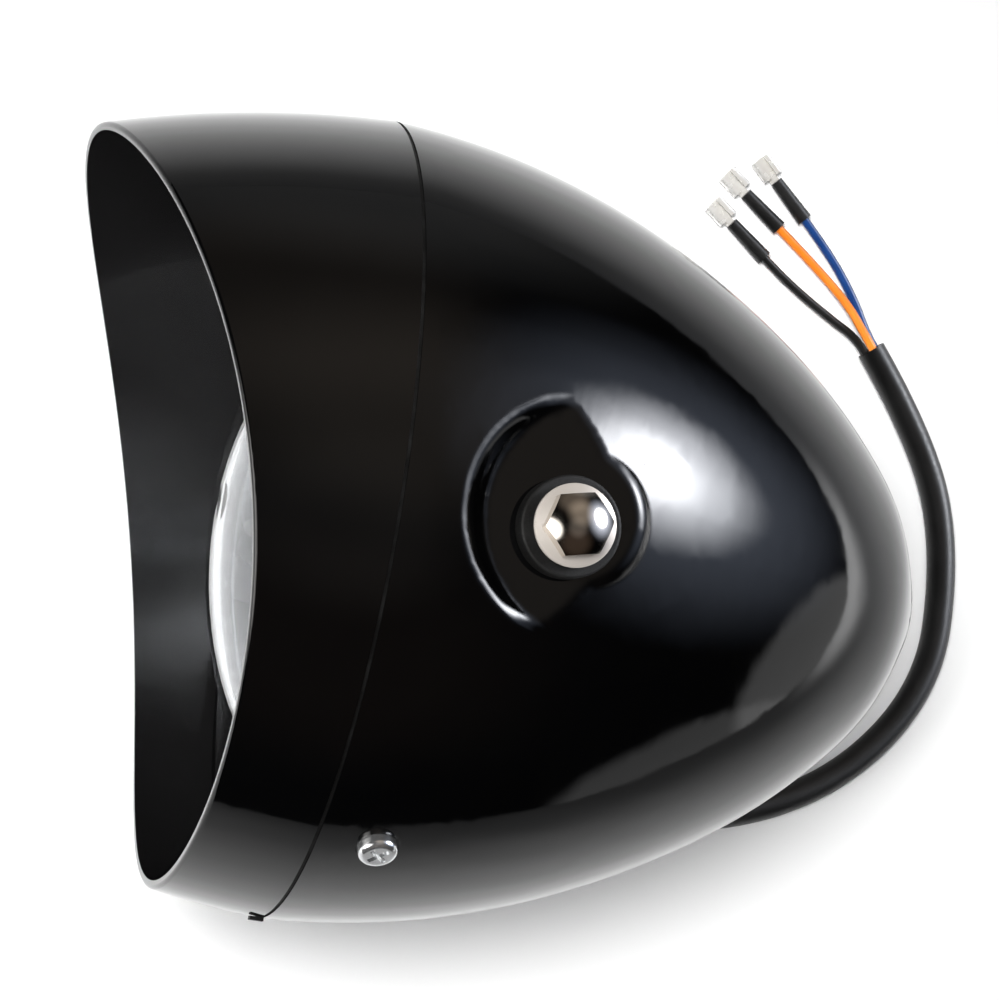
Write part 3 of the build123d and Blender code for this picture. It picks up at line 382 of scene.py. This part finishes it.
def black_paint():
    """Glossy baked enamel: slight waves, orange peel, a few specks of dust, a duller coat inside."""
    made, s = new_material("black_paint")
    place = s.place()
    cells = s.add("ShaderNodeTexVoronoi", {"Vector": place, "Scale": DUST_CELLS, "Randomness": 1.0})
    pick = s.add("ShaderNodeTexWhiteNoise", {"Vector": cells.outputs["Position"]}).outputs["Value"]
    chosen = s.ramp(pick, *DUST_CHOICE)
    speck = s.ramp(cells.outputs["Distance"], *DUST_RADIUS, start=1.0, end=0.0)
    dust = s.math("MULTIPLY", speck, chosen)
    inside = s.inward(place)
    tone = s.mix(s.noise(place, scale=60.0, detail=3.0), *PAINT_TONES)
    tone = s.mix(dust, tone, DUST_TONE)
    tone = s.mix(inside, tone, INSIDE_TONE)
    rough = s.spread(s.noise(place, scale=140.0, detail=4.0), *PAINT_ROUGHNESS)
    rough = s.math("ADD", rough, s.math("MULTIPLY", dust, DUST_ADDED_ROUGHNESS))
    rough = s.math("ADD", rough, s.math("MULTIPLY", inside, INSIDE_ADDED_ROUGHNESS))
    radius = s.ramp(s.axis(place, "X"), PAD_FRONT - PAD_FRONT_BLEND, PAD_FRONT, end=PAD_EDGE_RADIUS)
    normal = s.add("ShaderNodeBevel", {"Radius": radius}, samples=PAINT_EDGE_SAMPLES).outputs["Normal"]
    waves = s.noise(place, scale=22.0, detail=1.0)
    normal = s.bump(waves, PAINT_WAVE_HEIGHT, strength=0.6, normal=normal)
    peel = s.noise(place, scale=620.0, detail=2.0)
    normal = s.bump(peel, PAINT_PEEL_HEIGHT, strength=0.7, normal=normal)
    s.surface({"Base Color": tone, "Roughness": rough, "IOR": PAINT_IOR, "Normal": normal})
    return made


def black_rubber():
    """Matte rubber with a fine grain and a faint bloom."""
    made, s = new_material("black_rubber")
    place = s.place()
    bloom = s.spread(s.noise(place, scale=180.0, detail=4.0), over=RUBBER_BLOOM_RANGE)
    tone = s.mix(bloom, *RUBBER_TONES)
    grain = s.noise(place, scale=2600.0, detail=3.0)
    rough = s.spread(grain, *RUBBER_ROUGHNESS)
    normal = s.bump(grain, RUBBER_GRAIN_HEIGHT, strength=0.5)
    s.surface({"Base Color": tone, "Roughness": rough, "Normal": normal})
    return made


def nickel_bolt():
    """Polished dome and hexagon on a flange whose face is only satin."""
    made, s = new_material("nickel_bolt")
    place = s.place()
    height = s.math("ABSOLUTE", s.axis(place, "Z"))
    satin = s.ramp(height, BOLT_FLANGE_TOP, BOLT_FLANGE_TOP + BOLT_FLANGE_BLEND, start=1.0, end=0.0)
    slow = s.noise(place, scale=260.0, detail=3.0)
    tone = s.mix(slow, *NICKEL_TONES)
    tone = s.mix(satin, tone, SATIN_TONE)
    rough = s.spread(slow, *NICKEL_ROUGHNESS)
    rough = s.math("ADD", rough, s.math("MULTIPLY", satin, SATIN_ADDED_ROUGHNESS))
    metallic = s.math("SUBTRACT", 1.0, s.math("MULTIPLY", satin, SATIN_DIFFUSE_SHARE))
    grain = s.math("MULTIPLY", s.noise(place, scale=3800.0, detail=3.0), satin)
    normal = s.bump(grain, SATIN_GRAIN_HEIGHT, strength=0.5)
    s.surface({"Base Color": tone, "Metallic": metallic, "Roughness": rough, "Normal": normal})
    return made


def reflector_coating():
    """Vapour-coated mirror with a slight haze."""
    made, s = new_material("reflector_coating")
    place = s.place()
    waves = s.noise(place, scale=35.0, detail=2.0)
    tone = s.mix(waves, *REFLECTOR_TONES)
    rough = s.spread(s.noise(place, scale=60.0, detail=2.0), *REFLECTOR_ROUGHNESS)
    normal = s.bump(waves, REFLECTOR_WAVE_HEIGHT, strength=0.4)
    s.surface({"Base Color": tone, "Metallic": 1.0, "Roughness": rough, "Normal": normal})
    return made


def glass(name, tint, ripple):
    """Clear glass with a slight ripple and a faint smear."""
    made, s = new_material(name)
    place = s.place()
    smear = s.noise(place, scale=60.0, detail=2.0)
    rough = s.spread(smear, *GLASS_ROUGHNESS, over=GLASS_SMEAR_RANGE)
    normal = s.bump(s.noise(place, scale=45.0, detail=1.0), ripple, strength=0.5)
    values = {
        "Base Color": tint,
        "Roughness": rough,
        "IOR": GLASS_IOR,
        "Transmission Weight": 1.0,
        "Normal": normal,
    }
    s.surface(values)
    return made


def metal(name, tones, roughness, grain, metallic=1.0):
    """Metal with a fine grain, and with a tone and a gloss that change slowly."""
    made, s = new_material(name)
    place = s.place()
    slow = s.noise(place, scale=grain / METAL_TONE_COARSENESS, detail=3.0)
    tone = s.mix(s.spread(slow), *tones)
    haze = s.noise(place, scale=grain / METAL_GLOSS_COARSENESS, detail=3.0)
    rough = s.spread(haze, *roughness)
    normal = s.bump(s.noise(place, scale=grain, detail=4.0), METAL_GRAIN_HEIGHT, strength=0.4)
    s.surface({"Base Color": tone, "Metallic": metallic, "Roughness": rough, "Normal": normal})
    return made


def plastic(name, tones, roughness, grain, skin):
    """Moulded or drawn plastic: a fine skin, and a tone that changes a little along it."""
    made, s = new_material(name)
    place = s.place()
    slow = s.noise(place, scale=grain / PLASTIC_TONE_COARSENESS, detail=3.0)
    tone = s.mix(s.spread(slow), *tones)
    pattern = s.noise(place, scale=grain, detail=3.0)
    rough = s.spread(pattern, *roughness)
    normal = s.bump(pattern, skin, strength=0.4)
    s.surface({"Base Color": tone, "Roughness": rough, "Normal": normal})
    return made


def make_materials():
    """One material for each slot of the record."""
    materials = {
        "black_paint": black_paint(),
        "black_rubber": black_rubber(),
        "nickel_bolt": nickel_bolt(),
        "reflector_coating": reflector_coating(),
    }
    for make, recipes in ((glass, GLASSES), (metal, METALS), (plastic, PLASTICS)):
        for name, recipe in recipes.items():
            materials[name] = make(name, **recipe)
    return materials


def dress_nodes(materials):
    """Every CAD node gets the material of its slot in the record."""
    slots = {entry["node"]: entry["material_slot"] for entry in frame["record"]["subparts"]}
    for name, thing in nodes.items():
        thing.data.materials.clear()
        thing.data.materials.append(materials[slots[name]])


def cord_curve(name, route, diameter, material):
    """Smooth round cord with the route's points as its control points."""
    data = bpy.data.curves.new(name, "CURVE")
    data.dimensions = "3D"
    data.bevel_depth = diameter / 2 * MM
    data.bevel_resolution = CORD_BEVEL_RESOLUTION
    data.use_fill_caps = True
    data.materials.append(material)
    spline = data.splines.new("NURBS")
    spline.points.add(len(route) - 1)
    for point, place in zip(spline.points, route):
        point.co = (*(Vector(place) * MM), 1.0)
    spline.order_u = 3
    spline.use_endpoint_u = True
    spline.resolution_u = CORD_ROUTE_RESOLUTION
    made = bpy.data.objects.new(name, data)
    bpy.context.collection.objects.link(made)
    return made


def lay_cables(materials):
    """The sheath and the three wires that come out of it, in place of their CAD tubes."""
    sheath = cord_curve("sheath_cord", SHEATH_ROUTE, SHEATH_DIAMETER, materials["black_sheath"])
    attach(sheath, "root")
    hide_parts("cable_sheath")
    for name, route in WIRE_ROUTES.items():
        wire = cord_curve(f"wire_{name}_cord", route, WIRE_DIAMETER, materials[f"{name}_wire"])
        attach(wire, "root")
        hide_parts(f"wire_{name}")


def make_floor():
    """Pale round table that the lamp lies on."""
    mesh = bpy.data.meshes.new("floor")
    corners = []
    for side in range(TABLE_SIDES):
        turn = 2 * math.pi * side / TABLE_SIDES
        corners.append((TABLE_RADIUS * math.cos(turn), TABLE_RADIUS * math.sin(turn), TABLE_HEIGHT))
    mesh.from_pydata(corners, [], [tuple(range(TABLE_SIDES))])
    floor = bpy.data.objects.new("floor", mesh)
    bpy.context.collection.objects.link(floor)
    made, s = new_material("pale_table")
    tone = s.mix(s.noise(s.place(), scale=9.0, detail=3.0), *TABLE_TONES)
    s.surface({"Base Color": tone, "Roughness": TABLE_ROUGHNESS, "Specular IOR Level": TABLE_SPECULAR})
    mesh.materials.append(made)


def direction(azimuth, elevation):
    """Unit vector, azimuth from +X towards +Y, both in degrees."""
    turn = math.radians(azimuth)
    rise = math.radians(elevation)
    return Vector((math.cos(rise) * math.cos(turn), math.cos(rise) * math.sin(turn), math.sin(rise)))


def glow(s, ray, azimuth, elevation, inner, outer, radiance, tint):
    """Light that comes in along the ray from one soft round light."""
    cosine = s.vector("DOT_PRODUCT", ray, direction(azimuth, elevation), output="Value")
    angle = s.math("ARCCOSINE", cosine)
    strength = s.ramp(angle, math.radians(inner), math.radians(outer), start=radiance, end=0.0)
    return s.mix(1.0, strength, tint, blend="MULTIPLY")


def make_world():
    """A dim studio with soft lights, which shiny surfaces mirror, and a plain pale backdrop."""
    world = bpy.data.worlds.new("studio")
    bpy.context.scene.world = world
    world.use_nodes = True
    world.cycles_visibility.diffuse = False
    s = Shading(world.node_tree)
    ray = s.add("ShaderNodeTexCoord").outputs["Generated"]
    first, *others = [glow(s, ray, **light) for light in STUDIO_GLOWS]
    total = first
    for other in others:
        total = s.mix(1.0, total, other, blend="ADD")
    seen = s.add("ShaderNodeLightPath").outputs["Is Camera Ray"]
    backdrop = s.mix(seen, total, BACKDROP_TONE)
    background = s.add("ShaderNodeBackground", {"Color": backdrop, "Strength": 1.0})
    s.add("ShaderNodeOutputWorld", {"Surface": background.outputs["Background"]})


def hang_lamp(name, kind, place, aim, energy):
    """Lamp that lights matte surfaces, and is neither mirrored nor seen through glass."""
    data = bpy.data.lights.new(name, kind)
    data.energy = energy
    lamp = bpy.data.objects.new(name, data)
    lamp.location = place
    lamp.rotation_euler = (Vector(aim) - Vector(place)).to_track_quat("-Z", "Y").to_euler()
    lamp.visible_glossy = False
    lamp.visible_transmission = False
    bpy.context.collection.objects.link(lamp)
    return data


def add_spot(name, place, aim, energy, spread, blend, radius):
    data = hang_lamp(name, "SPOT", place, aim, energy)
    data.spot_size = math.radians(spread)
    data.spot_blend = blend
    data.shadow_soft_size = radius


def add_panel(name, place, aim, energy, width):
    data = hang_lamp(name, "AREA", place, aim, energy)
    data.size = width


def make_table_light():
    for name, spot in TABLE_SPOTS.items():
        add_spot(name, **spot)
    for name, panel in SOFT_PANELS.items():
        add_panel(name, **panel)


def make_camera():
    data = bpy.data.cameras.new("camera")
    data.sensor_width = CAMERA_SENSOR
    data.lens = CAMERA_LENS
    camera = bpy.data.objects.new("camera", data)
    forward = (CAMERA_AIM - CAMERA_PLACE).normalized()
    level = forward.cross(Vector((0, 1, 0))).normalized()
    right = Matrix.Rotation(math.radians(-CAMERA_ROLL), 3, forward) @ level
    up = right.cross(forward)
    turn = Matrix((right, up, -forward)).transposed()
    camera.matrix_world = Matrix.Translation(CAMERA_PLACE) @ turn.to_4x4()
    bpy.context.collection.objects.link(camera)
    bpy.context.scene.camera = camera


slot_materials = make_materials()
make_camera()
lay_cables(slot_materials)
dress_nodes(slot_materials)
make_floor()
make_world()
make_table_light()
bpy.context.scene.view_settings.view_transform = "Standard"
